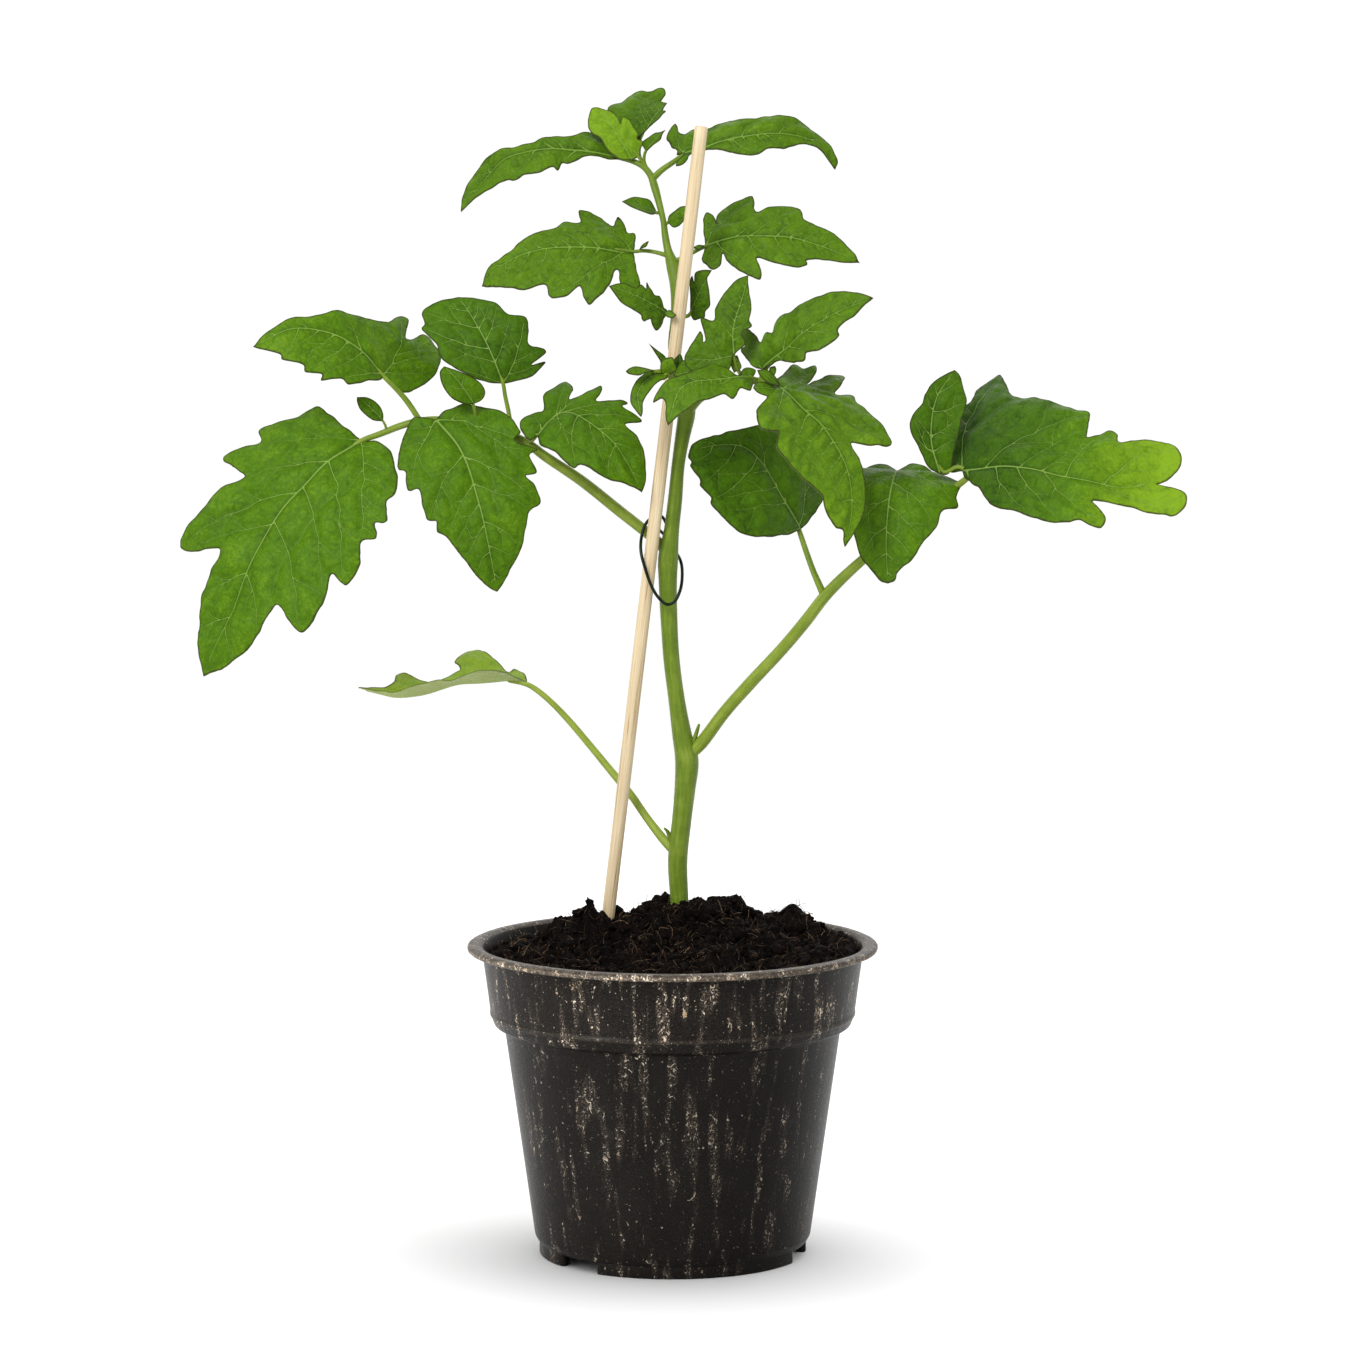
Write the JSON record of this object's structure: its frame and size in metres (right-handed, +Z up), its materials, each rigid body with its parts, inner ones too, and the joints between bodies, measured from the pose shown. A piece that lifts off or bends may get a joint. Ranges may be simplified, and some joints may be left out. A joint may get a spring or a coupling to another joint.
{
  "type": "potted tomato seedling",
  "caption": "Young tomato plant with toothed compound leaves, tied to a wooden stake, in a round footed nursery pot filled with soil.",
  "frame": {"origin": "on the surface the pot stands on, under the middle of the pot's mouth", "axes": "+Z up along the pot's axis, -Y towards the front of the plant, +X to the right as seen from there"},
  "size_m": [0.313, 0.13, 0.3676],
  "materials": {
    "pot": "satin",
    "soil": "matte",
    "stake": "satin",
    "tie": "gloss",
    "stem": "satin",
    "old_leaf": "satin",
    "leaf": "satin",
    "young_leaf": "satin"
  },
  "bodies": {
    "root": {"pot": "pot", "soil": "soil", "stake": "stake", "tie": "tie", "stem": "stem", "leaf_lower_left": "old_leaf", "leaf_right": "leaf", "leaf_left": "leaf", "leaf_centre": "young_leaf", "leaf_top": "young_leaf"}
  },
  "joints": []
}
